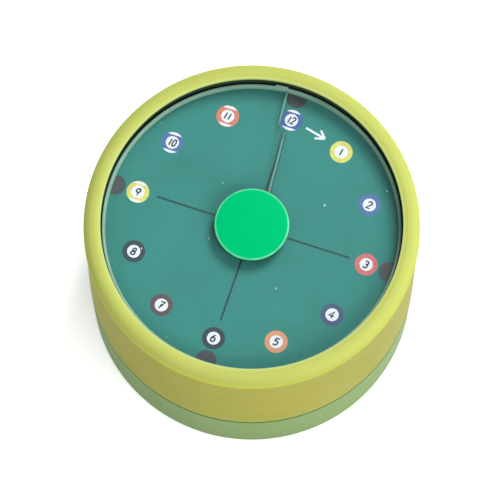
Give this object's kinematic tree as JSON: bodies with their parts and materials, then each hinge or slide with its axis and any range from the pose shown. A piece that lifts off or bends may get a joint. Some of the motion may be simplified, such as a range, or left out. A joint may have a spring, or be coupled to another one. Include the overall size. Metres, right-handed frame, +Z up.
{
  "type": "game spinner",
  "caption": "Tabletop game spinner: a drum case with a recessed numbered dial under a clear pointer disc, spun by a low round knob on a flywheel spindle.",
  "frame": {"origin": "on the table, under the middle of the case", "axes": "+Z up along the spindle, +Y towards the 12 of the dial"},
  "size_m": [0.09, 0.09, 0.0628],
  "materials": {
    "pale_green_plastic": "moulded satin, pale green",
    "lime_plastic": "moulded satin, lime",
    "black_liner": "flat black",
    "foot_rubber": "soft grey-black rubber",
    "zinc_screw": "bright zinc plate",
    "black_plastic": "moulded satin",
    "printed_card": "green printed card with twelve number marks",
    "white_nylon": "natural nylon",
    "bronze": "sintered bronze",
    "hard_steel": "hardened, polished",
    "bright_steel": "ground rod",
    "spring_steel": "dark spring steel",
    "flywheel_steel": "turned steel",
    "black_steel": "black oxide",
    "hub_brass": "turned brass",
    "clear_plastic": "clear acrylic with a frosted rim",
    "knob_green": "satin green with a bright edge"
  },
  "bodies": {
    "case": {"base_cup": "pale_green_plastic", "upper_shell": "lime_plastic", "bezel_ring": "lime_plastic", "rim_liner": "black_liner", "rubber_feet": "foot_rubber", "case_screws": "zinc_screw", "dial_plate": "black_plastic", "dial_card": "printed_card", "bearing_tower": "white_nylon", "tower_screws": "zinc_screw", "lower_bushing": "bronze", "upper_bushing": "bronze", "thrust_cup": "hard_steel", "thrust_ball": "hard_steel", "thrust_washer": "white_nylon"},
    "rotor": {"spindle": "bright_steel", "retaining_clip": "spring_steel", "flywheel": "flywheel_steel", "flywheel_grub_screw": "black_steel", "knob_hub": "hub_brass", "knob_screw": "zinc_screw", "pointer_disc": "clear_plastic", "knob_cap": "knob_green"}
  },
  "joints": [
    {"name": "rotor_spin", "type": "hinge", "parent": "case", "child": "rotor", "pos_m": [0, 0, 0.0574], "axis": [0, 0, 1], "continuous": true}
  ]
}
